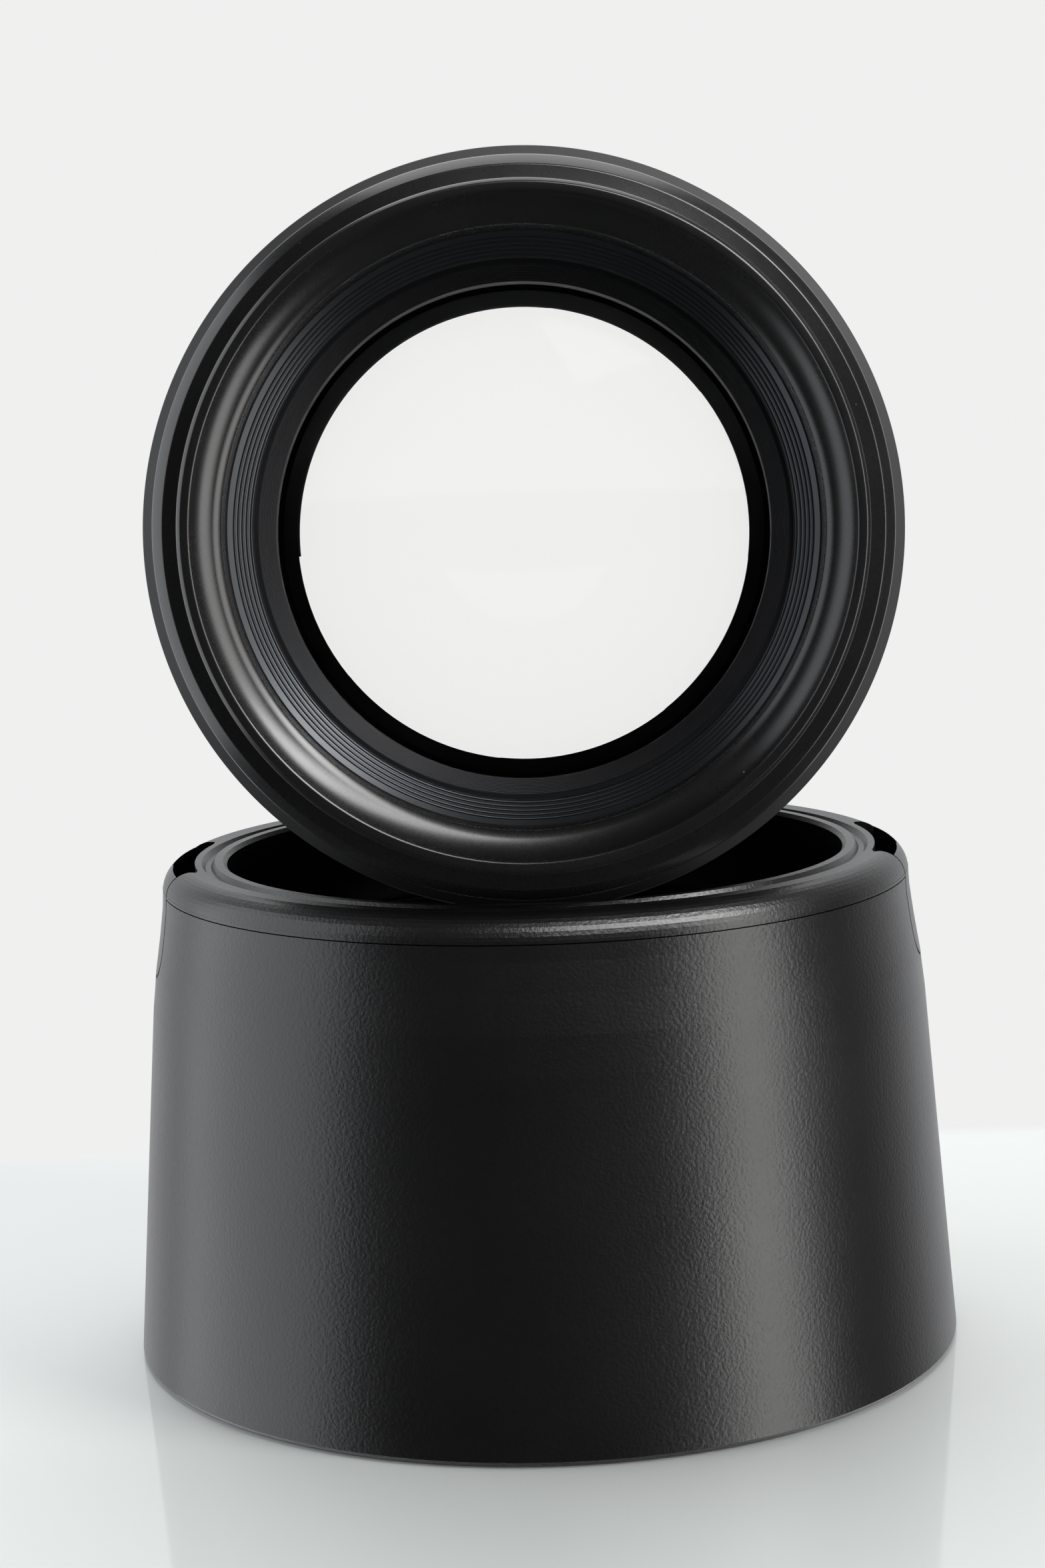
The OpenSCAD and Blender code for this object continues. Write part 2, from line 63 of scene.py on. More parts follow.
class Wire:
    def __init__(self, shader, socket):
        self.shader = shader
        self.socket = socket

    def isVector(self):
        return self.socket.type in ("VECTOR", "RGBA")

    def maths(self, operation, *others):
        kind = "ShaderNodeMath"
        if any(isinstance(w, Wire) and w.isVector() for w in (self, *others)):
            kind = "ShaderNodeVectorMath"
        return self.shader.add(kind, {"operation": operation}, dict(enumerate((self, *others))))

    def __add__(self, other):
        return self.maths("ADD", other)

    __radd__ = __add__

    def __sub__(self, other):
        return self.maths("SUBTRACT", other)

    def __rsub__(self, other):
        return self.shader.add("ShaderNodeMath", {"operation": "SUBTRACT"}, {0: other, 1: self})

    def __mul__(self, other):
        return self.maths("MULTIPLY", other)

    __rmul__ = __mul__

    def __pow__(self, other):
        return self.maths("POWER", other)

    def dot(self, direction):
        return self.shader.add("ShaderNodeVectorMath", {"operation": "DOT_PRODUCT"},
                               {0: self, 1: tuple(direction)}, output="Value")

    def sine(self):
        return self.maths("SINE")

    def largest(self, other):
        return self.maths("MAXIMUM", other)

    def step(self, low, high, start=0.0, end=1.0):
        # smooth change from start to end while the value goes from low to high
        return self.shader.add("ShaderNodeMapRange", {"interpolation_type": "SMOOTHSTEP"},
                               {"Value": self, "From Min": low, "From Max": high,
                                "To Min": start, "To Max": end})


class Shader:
    def __init__(self, name, **constants):
        self.material = bpy.data.materials.new(name)
        self.material.use_nodes = True
        self.tree = self.material.node_tree
        self.surface = self.tree.nodes["Principled BSDF"]
        for socket, value in constants.items():
            name = socket[0].upper() + "".join(" " + c if c.isupper() else c for c in socket[1:])
            name = name.replace("Ior", "IOR")
            if isinstance(value, tuple) and len(value) == 3:
                value = (*value, 1)
            self.surface.inputs[name].default_value = value

    def add(self, kind, settings=None, sockets=None, output=0):
        node = self.tree.nodes.new(kind)
        for key, value in (settings or {}).items():
            setattr(node, key, value)
        for key, value in (sockets or {}).items():
            socket = node.inputs[key]
            if isinstance(value, Wire):
                self.tree.links.new(value.socket, socket)
            elif socket.type == "RGBA" and len(value) == 3:
                socket.default_value = (*value, 1)
            elif socket.type == "VECTOR" and isinstance(value, (int, float)):
                socket.default_value = (value, value, value)
            else:
                socket.default_value = value
        return Wire(self, node.outputs[output])

    def feed(self, **wires):
        names = {"colour": "Base Color", "roughness": "Roughness", "normal": "Normal"}
        for name, wire in wires.items():
            self.tree.links.new(wire.socket, self.surface.inputs[names[name]])
        return self.material

    def mix(self, mask, first, second):
        return self.add("ShaderNodeMix", {"data_type": "RGBA"}, {0: mask, 6: first, 7: second}, output=2)

    def place(self):
        return self.add("ShaderNodeTexCoord", output="Object")

    def alongLens(self):
        # distance from the lens axis, and distance behind the rim
        offset = self.place() - tuple(rimPoint)
        across = offset.dot(lensSide)
        up = offset.dot(lensUp)
        radius = (across * across + up * up) ** 0.5
        return radius, offset.dot(lensAxis)

    def grain(self, scale, detail=2.0, stretch=None):
        where = self.place()
        if stretch:
            where = where * stretch
        return self.add("ShaderNodeTexNoise", {}, {"Vector": where, "Scale": scale, "Detail": detail},
                        output="Fac")

    def specks(self, scale, size, share):
        # sparse dust: the hearts of a few cells
        cells = self.add("ShaderNodeTexVoronoi", {}, {"Vector": self.place(), "Scale": scale},
                         output="Distance")
        pick = self.grain(scale * 0.37)
        return cells.step(size, size * 0.6) * pick.step(share, share + 0.05)

    def bump(self, height, strength, distance):
        return self.add("ShaderNodeBump", {},
                        {"Height": height, "Strength": strength, "Distance": distance})


# mesh helpers

def softened(outline, radius, steps=3):
    # rounds every corner of a closed outline, but for the nearly straight ones
    straight = math.radians(165)
    count = len(outline)
    result = []
    for i in range(count):
        before, here, after = (Vector(outline[(i + k) % count]) for k in (-1, 0, 1))
        inward, outward = before - here, after - here
        if inward.length < 1e-6 or outward.length < 1e-6:
            continue
        if inward.angle(outward) > straight:
            result.append(tuple(here))
            continue
        cut = min(radius, 0.4 * inward.length, 0.4 * outward.length)
        start, end = here + inward.normalized() * cut, here + outward.normalized() * cut
        for k in range(steps + 1):
            t = k / steps
            result.append(tuple(start * (1 - t) ** 2 + here * 2 * t * (1 - t) + end * t * t))
    return result


def arc(centre, radius, first, last, count):
    return [(centre[0] + radius * math.cos(math.radians(first + (last - first) * i / count)),
             centre[1] + radius * math.sin(math.radians(first + (last - first) * i / count)))
            for i in range(count + 1)]


def finished(name, mesh, material, sharpAngle):
    mesh.transform(lensPlace)
    mesh.update()
    tidy = bmesh.new()
    tidy.from_mesh(mesh)
    bmesh.ops.recalc_face_normals(tidy, faces=tidy.faces)
    tidy.to_mesh(mesh)
    tidy.free()
    mesh.shade_smooth()
    mesh.set_sharp_from_angle(angle=math.radians(sharpAngle))
    mesh.materials.append(material)
    piece = bpy.data.objects.new(name, mesh)
    bpy.context.scene.collection.objects.link(piece)
    return piece


def turned(name, outline, material, steps, wobble=None, sharpAngle=38):
    # a piece turned about the lens axis; outline points are (radius, distance behind the rim)
    # wobble may move a point by its angle
    points, faces = [], []
    for i in range(steps):
        angle = 2 * math.pi * i / steps
        for k, (r, s) in enumerate(outline):
            if wobble:
                r, s = wobble(r, s, angle, k)
            points.append((r * math.cos(angle) * mm, r * math.sin(angle) * mm, s * mm))
    count = len(outline)
    for i in range(steps):
        for k in range(count):
            a, b = i * count + k, i * count + (k + 1) % count
            c, d = ((i + 1) % steps) * count + (k + 1) % count, ((i + 1) % steps) * count + k
            faces.append((a, b, c, d))
    mesh = bpy.data.meshes.new(name)
    mesh.from_pydata(points, [], faces)
    return finished(name, mesh, material, sharpAngle)


def stands(piece, body, slot, *replaced):
    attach(piece, body)
    if replaced:
        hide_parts(*replaced)
    return piece


# finishes

def blackMoulding(name, colour, roughness, grainSize=0.3, depth=0.02, dust=0.5):
    shader = Shader(name, specularIorLevel=0.5)
    fine = shader.grain(1 / (grainSize * mm), 2.0)
    broad = shader.grain(60, 3.0)
    specks = shader.specks(420, 0.045, 0.66)
    tone = shader.mix(broad, tuple(0.8 * c for c in colour), tuple(1.25 * c for c in colour))
    tone = shader.mix(specks * dust, tone, (0.35, 0.35, 0.36))
    rough = roughness + (broad - 0.5) * 0.1 + (fine - 0.5) * 0.08
    return shader.feed(colour=tone, roughness=rough + specks * 0.3,
                       normal=shader.bump(fine, 0.5, depth * mm))


def turnedBlack(name, colour, roughness, pitch=0.3, depth=0.0012, dust=0.4, tint=(1.0, 1.0, 1.0),
                matteFrom=None):
    # black with the fine rings that a lathe leaves; behind matteFrom the finish is matt
    shader = Shader(name, specularIorLevel=0.5, specularTint=tint)
    radius, along = shader.alongLens()
    rings = ((radius + along) * (2 * math.pi / (pitch * mm))).sine()
    broad = shader.grain(90, 2.0)
    fine = shader.grain(3200, 2.0)
    specks = shader.specks(460, 0.05, 0.62)
    tone = shader.mix(broad, colour, tuple(1.5 * c for c in colour))
    tone = shader.mix(specks * dust, tone, (0.4, 0.4, 0.42))
    rough = roughness + (broad - 0.5) * 0.1 + specks * 0.3 + (fine - 0.5) * 0.06
    if matteFrom:
        rough = rough + along.step((matteFrom - 0.1) * mm, (matteFrom + 0.1) * mm) * 0.3
    return shader.feed(colour=tone, roughness=rough,
                       normal=shader.bump(rings * 0.5 + fine * 0.6, 0.35, depth * mm))


def rubber(name):
    shader = Shader(name, specularIorLevel=0.35)
    fine = shader.grain(5200, 3.0)
    broad = shader.grain(120, 3.0)
    dust = shader.grain(900, 4.0).step(0.62, 0.78)
    tone = shader.mix(broad, (0.012, 0.012, 0.012), (0.022, 0.022, 0.022))
    tone = shader.mix(dust * 0.25, tone, (0.09, 0.088, 0.085))
    return shader.feed(colour=tone, roughness=0.62 + (fine - 0.5) * 0.15 + dust * 0.1,
                       normal=shader.bump(fine, 0.35, 0.02 * mm))


def metal(name, colour, roughness, pitch=0.09):
    # bare metal with turning rings and a little wear
    shader = Shader(name, metallic=1.0)
    radius, along = shader.alongLens()
    rings = shader.add("ShaderNodeTexNoise", {"noise_dimensions": "2D"},
                       {"Vector": shader.add("ShaderNodeCombineXYZ", {}, {0: radius, 1: along}),
                        "Scale": 1 / (pitch * mm), "Detail": 2}, output="Fac")
    broad = shader.grain(140, 3.0)
    marks = shader.grain(900, 3.0, stretch=(1, 6, 1)).step(0.6, 0.75)
    tone = shader.mix(rings, tuple(0.82 * c for c in colour), colour)
    tone = shader.mix(marks * 0.15, tone, tuple(0.55 * c for c in colour))
    return shader.feed(colour=tone, roughness=roughness + (rings - 0.5) * 0.14 + broad * 0.08,
                       normal=shader.bump(rings, 0.3, 0.003 * mm))


def deepBlack(name, roughness=0.75, colour=(0.006, 0.006, 0.007)):
    shader = Shader(name, specularIorLevel=0.25)
    radius, along = shader.alongLens()
    ridges = ((radius + along * 0.6) * (2 * math.pi / (0.35 * mm))).sine()
    fine = shader.grain(4000, 2.0)
    tone = shader.mix(fine, colour, tuple(1.7 * c for c in colour))
    return shader.feed(colour=tone, roughness=roughness + (fine - 0.5) * 0.1,
                       normal=shader.bump(ridges, 0.4, 0.03 * mm))


def flock(name):
    shader = Shader(name, specularIorLevel=0.1, sheenWeight=0.35, sheenRoughness=0.5)
    fine = shader.grain(3800, 4.0)
    broad = shader.grain(160, 3.0)
    tone = shader.mix(fine, (0.003, 0.003, 0.003), (0.018, 0.018, 0.019))
    tone = shader.mix(broad * 0.3, tone, (0.014, 0.014, 0.014))
    return shader.feed(colour=tone, roughness=0.9 + (fine - 0.5) * 0.1,
                       normal=shader.bump(fine, 0.8, 0.06 * mm))


def paint(name, colour):
    shader = Shader(name)
    fine = shader.grain(2600, 3.0)
    tone = shader.mix(fine, tuple(0.85 * c for c in colour), colour)
    return shader.feed(colour=tone, roughness=0.4 + (fine - 0.5) * 0.15,
                       normal=shader.bump(fine, 0.2, 0.01 * mm))


def circuit(name):
    shader = Shader(name, coatWeight=0.3, coatRoughness=0.2)
    tracks = shader.add("ShaderNodeTexBrick", {"offset": 0.5},
                        {"Vector": shader.place(), "Scale": 220, "Mortar Size": 0.03,
                         "Color1": (0.01, 0.1, 0.04), "Color2": (0.012, 0.13, 0.05),
                         "Mortar": (0.05, 0.3, 0.12)}, output="Color")
    fine = shader.grain(1500, 2.0)
    tone = shader.mix(fine * 0.3, tracks, (0.02, 0.16, 0.07))
    return shader.feed(colour=tone, roughness=0.35 + fine * 0.2,
                       normal=shader.bump(fine, 0.2, 0.01 * mm))


# edge is a painted reflection: a green-blue ring painted into the colour at the rim of one glass; tint and
# inner colour what the glass mirrors
glassCoat = {"tint": (0.02, 0.022, 0.02), "edge": (0.35, 0.85, 0.92), "inner": (0.3, 0.27, 0.18)}


def glass(name, index, paintedRimRadius=None):
    coat = glassCoat["inner"] if paintedRimRadius else glassCoat["tint"]
    shader = Shader(name, transmissionWeight=1.0, roughness=0.0, ior=index, specularTint=coat)
    clear = (1.0, 1.0, 1.0)
    if paintedRimRadius:
        radius, along = shader.alongLens()
        # painted reflection: the rim of this glass is tinted green-blue in its colour, in place of the
        # reflection of its coating
        ring = radius.step((paintedRimRadius - 0.55) * mm, paintedRimRadius * mm)
        tone = shader.mix(ring, clear, glassCoat["edge"])
    else:
        film = shader.grain(70, 2.0)
        tone = shader.mix(film, clear, (0.9993, 1.0, 0.9997))
    return shader.feed(colour=tone)


finish = {
    "hood": blackMoulding("hoodBlack", (0.0045, 0.0045, 0.005), 0.32, 0.35, 0.07),
    "lining": flock("hoodFlock"),
    "barrel": blackMoulding("barrelBlack", (0.006, 0.006, 0.0065), 0.4, 0.16, 0.01),
    "front": turnedBlack("frontRingBlack", (0.005, 0.005, 0.0055), 0.27, matteFrom=6.7),
    "ribs": turnedBlack("ribbedBlack", (0.006, 0.0065, 0.0075), 0.33, 0.2, 0.0008, 0.25, (0.9, 0.95, 1.0)),
    "cell": turnedBlack("cellBlack", (0.0025, 0.0025, 0.003), 0.45, 0.25, 0.0008, 0.15, (0.45, 0.46, 0.48)),
    "grip": rubber("gripRubber"),
    "scale": blackMoulding("scaleBlack", (0.008, 0.008, 0.008), 0.5, 0.12, 0.004, 0.1),
    "steel": metal("mountSteel", (0.62, 0.61, 0.59), 0.22),
    "springSteel": metal("springSteel", (0.6, 0.6, 0.62), 0.3),
    "gold": metal("contactGold", (0.9, 0.65, 0.25), 0.2, 0.06),
    "alloy": metal("innerAlloy", (0.5, 0.5, 0.52), 0.4),
    "bronze": metal("motorBronze", (0.55, 0.4, 0.22), 0.35),
    "brass": metal("gearBrass", (0.72, 0.55, 0.26), 0.3),
    "can": metal("motorCan", (0.5, 0.5, 0.52), 0.33),
    "blade": metal("bladeSteel", (0.05, 0.05, 0.055), 0.42),
    "baffle": deepBlack("baffleBlack"),
    "board": circuit("boardGreen"),
    "red": paint("indexRed", (0.6, 0.012, 0.012)),
    "white": paint("markWhite", (0.75, 0.75, 0.73)),
}

nodeFinish = {
    "hood": ["hood_shell", "hood_mount_ring", "hood_button_left", "hood_button_right"],
    "lining": ["hood_lining"],
    "springSteel": ["hood_spring_left", "hood_spring_right", "wave_spring", "mount_screws"],
    "barrel": ["front_barrel", "main_barrel", "rear_barrel", "focus_ring", "focus_switch"],
    "front": ["switch_plate"],
    "cell": ["focus_cell", "cell_retainer", "front_spacer", "iris_base"],
    "scale": ["distance_scale"],
    "steel": ["bayonet_mount"],
    "red": ["index_dot"],
    "baffle": ["rear_baffle", "contact_block"],
    "gold": ["contact_pins"],
    "board": ["main_board"],
    "blade": ["iris_cover"] + [f"iris_blade_{i}" for i in range(1, 9)],
    "can": ["aperture_motor"],
    "brass": ["iris_drive_ring", "aperture_pinion", "cam_followers"],
    "alloy": ["guide_barrel", "cam_barrel", "roller_ring", "usm_rotor"],
    "bronze": ["usm_stator"],
}
for key, names in nodeFinish.items():
    for name in names:
        nodes[name].data.materials.clear()
        nodes[name].data.materials.append(finish[key])
print("finishes made:", len(finish))

# front ring, threads and retainer

frontRing = {"threadCrest": 28.62, "threadRoot": 29.05, "threadPitch": 0.75, "threadStart": 2.9,
             "threadTurns": 5, "softness": 0.12, "steps": 320}


def threadOutline():
    # straight-flanked filter thread, drawn as closed rings from the back to the front
    points = []
    for i in reversed(range(frontRing["threadTurns"])):
        s = frontRing["threadStart"] + i * frontRing["threadPitch"]
        points += [(frontRing["threadCrest"], s + 0.5), (frontRing["threadRoot"], s + 0.32),
                   (frontRing["threadRoot"], s + 0.2), (frontRing["threadCrest"], s)]
    return points


# round the outside from the rim, over the hood groove, the bevel and the shoulder, and in to the thread
outline = [(32.3, 0), (32.7, 0.4), (32.7, 2.4), (31.6, 2.6), (31.6, 5.0), (34.6, 5.2), (35.65, 6.3),
           (35.75, 6.8), (35.75, 10.4), (37.2, 11.4), (37.2, 12.0), (34.4, 12.0), (34.4, 8.2), (30.4, 7.6),
           (30.4, 6.9), (28.62, 6.9)]
outline += threadOutline() + [(28.62, 2.45), (28.95, 2.15)]
outline += arc((27.42, -2.5), 4.8, 67, 38, 16)  # the hollow mouth in front of the thread
outline += [(31.45, 0.1), (31.6, 0)]
frontPiece = turned("frontRing", softened(outline, frontRing["softness"]), finish["front"],
                    frontRing["steps"])
stands(frontPiece, "lens", "front_black", "front_ring")

retainerRibs = {"count": 5, "first": (26.2, 8.95), "step": (0.38, -0.31), "round": 0.17}


def roundedRibs(flight):
    # a flight of small rounded ribs, each a half-round set on its own step
    first, step = flight["first"], flight["step"]
    lean = math.degrees(math.atan2(step[1], step[0]))
    points = []
    for i in range(flight["count"]):
        centre = (first[0] + step[0] * (i + 0.5), first[1] + step[1] * (i + 0.5))
        points += arc(centre, flight["round"], lean - 165, lean - 15, 5)
    return points


ribs = [(30.3, 7.0), (30.3, 7.5), (28.9, 7.5), (28.9, 9.6), (26.3, 9.6), (26.1, 9.1)]
ribs += roundedRibs(retainerRibs)
ribs += [(28.15, 7.3), (28.5, 7.0)]
retainer = turned("frontRetainer", ribs, finish["ribs"], frontRing["steps"])
stands(retainer, "lens", "anodised_black", "front_retainer")

cell = [(27.0, 9.8), (27.0, 19.7), (26.2, 19.7), (26.2, 30.2), (22.1, 30.2), (22.1, 25.9), (23.1, 25.8),
        (23.1, 24.2), (24.6, 23.6), (24.9, 15.8), (24.9, 13.9), (24.3, 13.5)]
cellRidges = {"count": 11, "first": (24.36, 13.35), "step": (0.12, -0.31), "round": 0.1}
cell += roundedRibs(cellRidges)
cell += [(25.75, 9.85)]
frontCell = turned("frontCell", cell, finish["cell"], frontRing["steps"])
stands(frontCell, "lens", "anodised_black", "front_cell")
print("front ring, retainer and cell made")

# focusing ring grip

grip = {"radius": 37.3, "base": 36.9, "inner": 36.4, "start": 13.55, "end": 34.95, "ribs": 110, "rows": 5,
        "margin": 0.5, "groove": 0.25}
padAcross = (0, 0.75, 1, 1, 0.75, 0)  # the height of one pad, from groove to groove round the ring


def gripPiece():
    # raised pads in rows, divided by narrow grooves
    margin, groove = grip["margin"], grip["groove"]
    pitch = (grip["end"] - grip["start"] - 2 * margin) / grip["rows"]
    stations, high = [grip["start"], grip["start"] + margin], [False, False]
    for row in range(grip["rows"]):
        s = grip["start"] + margin + row * pitch
        stations += [s + groove, s + 2 * groove, s + pitch - 2 * groove, s + pitch - groove]
        high += [False, True, True, False]
    stations += [grip["end"] - margin, grip["end"]]
    high += [False, False]
    outline = [(grip["base"], s) for s in stations]
    outline += [(grip["inner"], grip["end"]), (grip["inner"], grip["start"])]
    perRib = len(padAcross)

    def wobble(r, s, angle, k):
        if k < len(high) and high[k]:
            place = round(angle / (2 * math.pi) * grip["ribs"] * perRib) % perRib
            r = grip["base"] + (grip["radius"] - grip["base"]) * padAcross[place]
        return r, s

    return turned("gripSleeve", outline, finish["grip"], grip["ribs"] * perRib, wobble, sharpAngle=50)


stands(gripPiece(), "focus_ring_body", "grip_rubber", "focus_grip")
print("grip made")

# optics

elements = {
    # node: edge radius, front vertex, front curvature radius, rear vertex, rear curvature radius, index, body
    "lens_element_1": (24.8, 9.4, 72, 13.8, 178, 1.80, "lens"),
    "lens_element_2": (23.0, 14.3, 31.6, 20.8, 58.6, 1.62, "lens"),
    "lens_element_3": (22.0, 22.4, 83.5, 24.5, 39, 1.72, "lens"),
    "lens_element_4": (18.7, 41.1, -55, 42.69, 52, 1.72, "focus_group_body"),
    "lens_element_5": (18.7, 42.705, 52, 48.4, -112, 1.65, "focus_group_body"),
    "lens_element_6": (18.7, 49.6, -79.5, 51.09, -210, 1.70, "focus_group_body"),
    "lens_element_7": (18.7, 51.105, -210, 56.0, -42, 1.78, "focus_group_body"),
    "lens_element_8": (18.4, 57.4, 58, 62.1, -284, 1.80, "focus_group_body"),
    "lens_element_9": (17.2, 65.1, -50.5, 67.9, 0, 1.77, "focus_group_body"),
}
paintedRimGlass = {"node": "lens_element_4", "radius": 18.5}  # the glass whose rim carries a painted reflection, a coloured ring at the edge of the view
blackEdge = deepBlack("blackenedEdge", 0.8, (0.004, 0.004, 0.004))


def sag(curvature, r):
    if curvature == 0:
        return 0.0
    return curvature - math.copysign(math.sqrt(curvature * curvature - r * r), curvature)


def element(node, radius, front, frontCurve, rear, rearCurve, index, body, rings=28, steps=160):
    # two polished faces and a blackened edge between them
    mesh = bpy.data.meshes.new(node.replace("lens_element_", "glass"))
    radii = [radius * math.sin(math.pi / 2 * (i + 1) / rings) for i in range(rings)]
    turns = [2 * math.pi * k / steps for k in range(steps)]
    points = []
    for curve, vertex in ((frontCurve, front), (rearCurve, rear)):
        points.append((0, 0, vertex * mm))
        for r in radii:
            s = vertex + sag(curve, r)
            points += [(r * math.cos(turn) * mm, r * math.sin(turn) * mm, s * mm) for turn in turns]
    faces, black = [], []
    base = 1 + rings * steps
    for start, pole in ((1, 0), (base + 1, base)):
        for k in range(steps):
            faces.append((pole, start + k, start + (k + 1) % steps))
        for i in range(rings - 1):
            for k in range(steps):
                a, b = start + i * steps + k, start + i * steps + (k + 1) % steps
                faces.append((a, b, b + steps, a + steps))
    for k in range(steps):
        a, b = 1 + (rings - 1) * steps + k, 1 + (rings - 1) * steps + (k + 1) % steps
        black.append(len(faces))
        faces.append((a, b, b + base, a + base))
    mesh.from_pydata(points, [], faces)
    edge = paintedRimGlass["radius"] if node == paintedRimGlass["node"] else None
    material = glass(node.replace("lens_element_", "clearGlass"), index, edge)
    piece = finished(mesh.name, mesh, material, 30)
    mesh.materials.append(blackEdge)
    for i in black:
        mesh.polygons[i].material_index = 1
    return stands(piece, body, "optical_glass", node)


for node, facts in elements.items():
    element(node, *facts)
print("glass made:", len(elements))

# distance window and its scale

windowGlass = Shader("windowPane", transmissionWeight=1.0, roughness=0.02, ior=1.49,
                     specularTint=(0.6, 0.6, 0.62))
windowFilm = windowGlass.grain(300, 3.0)
windowGlass.feed(colour=windowGlass.mix(windowFilm, (0.93, 0.95, 0.95), (0.97, 0.98, 0.98)))
nodes["scale_window"].data.materials.clear()
nodes["scale_window"].data.materials.append(windowGlass.material)

scaleMarks = {
    # figures as text and degrees round the ring from its middle; each row has its distance behind the rim
    "metres": [("0.85", -50), ("1", -41), ("1.2", -33), ("1.5", -24), ("2", -16), ("3", -7), ("5", 2),
               ("10", 10), ("∞", 20)],
    "feet": [("3", -48), ("3.5", -40), ("4", -32), ("5", -23), ("7", -15), ("10", -7), ("15", 1),
             ("30", 10)],
    "radius": 35.42, "metreRow": 44.6, "feetRow": 40.4, "height": 1.9,
}


def ringText(name, entries, row, material):
    # figures wrapped round the scale ring, reading the right way up from above the lens
    mesh = bmesh.new()
    for text, degrees in entries:
        curve = bpy.data.curves.new("figure", "FONT")
        curve.body = text
        curve.size = scaleMarks["height"] * mm
        curve.align_x = "CENTER"
        curve.align_y = "CENTER"
        holder = bpy.data.objects.new("figure", curve)
        bpy.context.scene.collection.objects.link(holder)
        drawn = holder.evaluated_get(bpy.context.evaluated_depsgraph_get())
        flat = bpy.data.meshes.new_from_object(drawn)
        start = len(mesh.verts)
        mesh.from_mesh(flat)
        mesh.verts.ensure_lookup_table()
        for v in mesh.verts[start:]:
            angle = math.radians(90 + degrees) - v.co.x / (scaleMarks["radius"] * mm)
            r = scaleMarks["radius"] * mm
            v.co = Vector((r * math.cos(angle), r * math.sin(angle), row * mm + v.co.y))
        bpy.data.objects.remove(holder)
        bpy.data.curves.remove(curve)
        bpy.data.meshes.remove(flat)
    flatMesh = bpy.data.meshes.new(name)
    mesh.to_mesh(flatMesh)
    mesh.free()
    flatMesh.transform(lensPlace)
    piece = bpy.data.objects.new(name, flatMesh)
    bpy.context.scene.collection.objects.link(piece)
    flatMesh.materials.append(material)
    return stands(piece, "cam_body", "scale_black")


ringText("metreFigures", scaleMarks["metres"], scaleMarks["metreRow"], finish["white"])
ringText("feetFigures", scaleMarks["feet"], scaleMarks["feetRow"], paint("markAmber", (0.75, 0.42, 0.06)))
print("scale made")

# surroundings

# lengths in metres; edge is how far behind the hood's axis the table ends, fade where it runs out elsewhere
table = {"size": 6.0, "height": -0.0002, "edge": 0.075, "soft": 0.003, "fade": (0.25, 0.8),
         "colour": (0.70, 0.735, 0.72), "paler": (0.73, 0.76, 0.745), "roughness": 0.04}
# dark and bright light the lens from the front and from behind; fill lights matt things only
# the part seen through the lens is a little brighter, to make up for what its many surfaces send back
room = {"seen": (0.875, 0.870, 0.868, 1), "throughLens": (0.92, 0.915, 0.893, 1),
        "light": (0.97, 0.98, 1.0, 1), "dark": 0.03, "bright": 0.85, "turn": (0.25, 0.75), "fill": 0.3}


def tableFinish():
    # a pale table that ends behind the lens, and runs out into the bright room on its other sides
    shader = Shader("tableTop", specularIorLevel=0.5)
    where = shader.place()
    soft = shader.grain(6, 2.0)
    shader.feed(colour=shader.mix(soft, table["colour"], table["paler"]),
                roughness=table["roughness"] + soft * 0.03)
    distance = (where * where).dot((1, 1, 0)) ** 0.5
    beyond = where.dot((0, 1, 0)).step(table["edge"] - table["soft"], table["edge"] + table["soft"])
    beyond = beyond.largest(distance.step(*table["fade"]))
    through = shader.add("ShaderNodeLightPath", output="Is Transmission Ray")
    glowColour = shader.mix(through, room["seen"], room["throughLens"])
    glow = shader.add("ShaderNodeEmission", {}, {"Color": glowColour, "Strength": 1.0})
    near = Wire(shader, shader.surface.outputs[0])
    both = shader.add("ShaderNodeMixShader", {}, {0: beyond, 1: near, 2: glow})
    shader.tree.links.new(both.socket, shader.tree.nodes["Material Output"].inputs["Surface"])
    return shader.material


floorMesh = bpy.data.meshes.new("floor")
half = table["size"] / 2
floorMesh.from_pydata([(-half, -half, 0), (half, -half, 0), (half, half, 0), (-half, half, 0)], [],
                      [(0, 1, 2, 3)])
floorMesh.materials.append(tableFinish())
floor = bpy.data.objects.new("floor", floorMesh)
floor.location.z = table["height"]
floor.visible_glossy = False  # the room in front of the table is dark, and the hood mirrors that
floor.visible_shadow = False
bpy.context.scene.collection.objects.link(floor)

world = bpy.data.worlds.new("room")
world.use_nodes = True
bpy.context.scene.world = world
worldTree = world.node_tree
worldTree.nodes.remove(worldTree.nodes["Background"])


def worldNode(kind, *values, operation=None, output=0):
    # values go to the node's sockets in order; a socket among them is linked
    node = worldTree.nodes.new(kind)
    if operation:
        node.operation = operation
    for socket, value in zip(node.inputs, values):
        if isinstance(value, bpy.types.NodeSocket):
            worldTree.links.new(value, socket)
        else:
            socket.default_value = value
    return node.outputs[output]


# what the eye meets is even white; what lights the lens is white behind it and dark in front
rays = worldTree.nodes.new("ShaderNodeLightPath").outputs
direction = worldNode("ShaderNodeTexCoord", output="Generated")
depth = worldNode("ShaderNodeSeparateXYZ", direction, output="Y")
behind = worldNode("ShaderNodeMapRange", depth, *room["turn"], room["dark"], room["bright"])
evenLight = worldNode("ShaderNodeMath", rays["Is Diffuse Ray"], room["fill"], behind,
                      operation="MULTIPLY_ADD")
backward = worldNode("ShaderNodeMapRange", depth, -0.1, 0.1, 0.0, 1.0)
through = worldNode("ShaderNodeMath", rays["Is Transmission Ray"], backward, operation="MULTIPLY")
either = worldNode("ShaderNodeMath", rays["Is Camera Ray"], through, operation="MAXIMUM")
lighting = worldNode("ShaderNodeBackground", room["light"], evenLight)
seen = worldNode("ShaderNodeBackground", room["seen"], 1.0)
throughLens = worldNode("ShaderNodeBackground", room["throughLens"], 1.0)
bright = worldNode("ShaderNodeMixShader", through, seen, throughLens)
chooser = worldNode("ShaderNodeMixShader", either, lighting, bright)
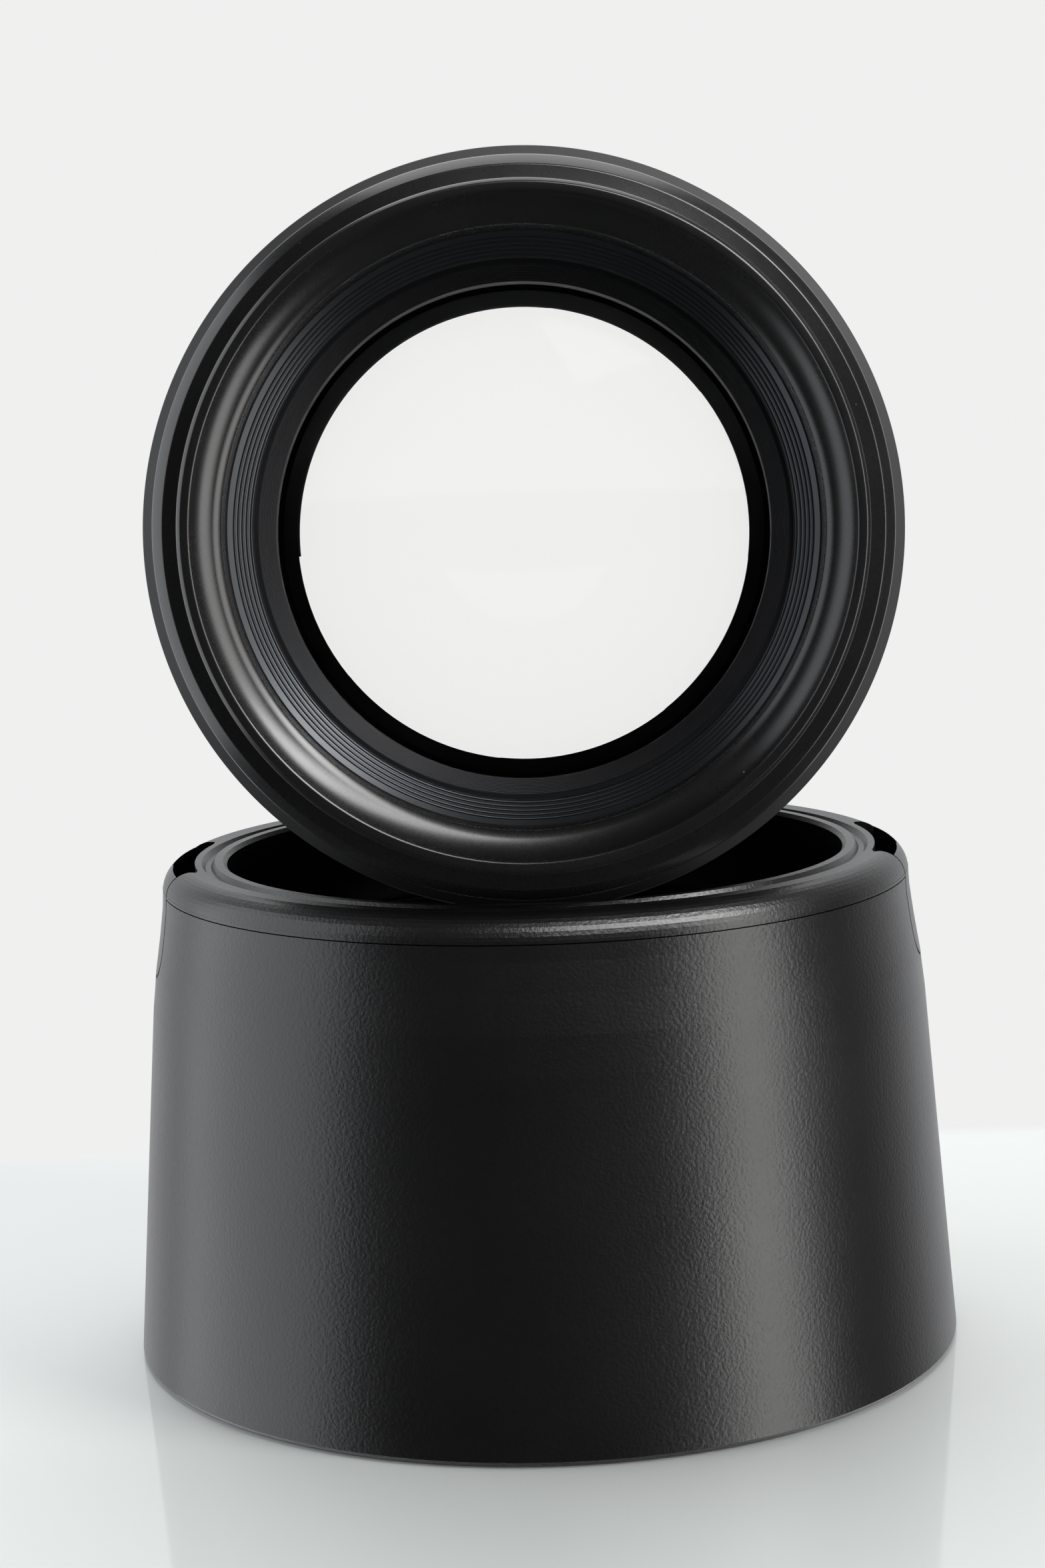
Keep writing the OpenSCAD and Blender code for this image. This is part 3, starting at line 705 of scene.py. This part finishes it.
worldTree.links.new(chooser, worldTree.nodes["World Output"].inputs["Surface"])

lamps = {
    # azimuth to the right of the lens's own front, elevation, distance, width, height (metres), power, colour
    "window": (61, 9, 1.1, 0.5, 1.9, 15, (1.0, 0.985, 0.97)),
    "leftWindow": (-90, 6, 1.2, 1.5, 1.9, 18, (0.95, 0.97, 1.0)),
    "ceiling": (42, 46, 1.3, 1.3, 0.5, 24, (1.0, 1.0, 1.0)),
    "top": (180, 64, 1.4, 1.2, 1.2, 14, (1.0, 1.0, 1.0)),
}
lampAim = Vector((0, 0, 0.06))
for name, (azimuth, elevation, distance, width, height, power, colour) in lamps.items():
    lamp = bpy.data.lights.new(name, "AREA")
    lamp.shape = "RECTANGLE"
    lamp.size, lamp.size_y = width, height
    lamp.energy = power
    lamp.color = colour
    piece = bpy.data.objects.new(name, lamp)
    a, e = math.radians(azimuth), math.radians(elevation)
    direction = Vector((math.sin(a) * math.cos(e), -math.cos(a) * math.cos(e), math.sin(e)))
    piece.location = lampAim + direction * distance
    piece.rotation_euler = direction.to_track_quat("Z", "Y").to_euler()
    piece.visible_camera = False
    piece.visible_transmission = False
    piece.visible_diffuse = name != "ceiling"  # this one only draws the highlights on the rounded edges
    bpy.context.scene.collection.objects.link(piece)
print("lights made:", len(lamps))

# place in millimetres, lens in millimetres for a 36 mm picture height, turns in radians
view = {"place": (0.7082, -326.852, 107.7099), "lens": 70.6765, "yaw": -0.0054, "pitch": 0.1456,
        "roll": -0.0323}

camera = bpy.data.cameras.new("camera")
camera.sensor_fit = "AUTO"
camera.sensor_width = 36
camera.lens = view["lens"]
camera.clip_start = 0.01
camera.clip_end = 50
cameraPiece = bpy.data.objects.new("camera", camera)
flat = math.cos(view["pitch"])
forward = Vector((math.sin(view["yaw"]) * flat, math.cos(view["yaw"]) * flat, -math.sin(view["pitch"])))
level = Vector((math.cos(view["yaw"]), -math.sin(view["yaw"]), 0))
upright = level.cross(forward)
rightward = level * math.cos(view["roll"]) + upright * math.sin(view["roll"])
upward = upright * math.cos(view["roll"]) - level * math.sin(view["roll"])
cameraPiece.matrix_world = Matrix.Translation(Vector(view["place"]) * mm) @ Matrix((
    (rightward.x, upward.x, -forward.x, 0), (rightward.y, upward.y, -forward.y, 0),
    (rightward.z, upward.z, -forward.z, 0), (0, 0, 0, 1)))
bpy.context.scene.collection.objects.link(cameraPiece)
bpy.context.scene.camera = cameraPiece

scene = bpy.context.scene
scene.view_settings.view_transform = "Standard"
scene.cycles.max_bounces = 44
scene.cycles.transmission_bounces = 44
scene.cycles.glossy_bounces = 6
scene.cycles.diffuse_bounces = 4
print("camera set")
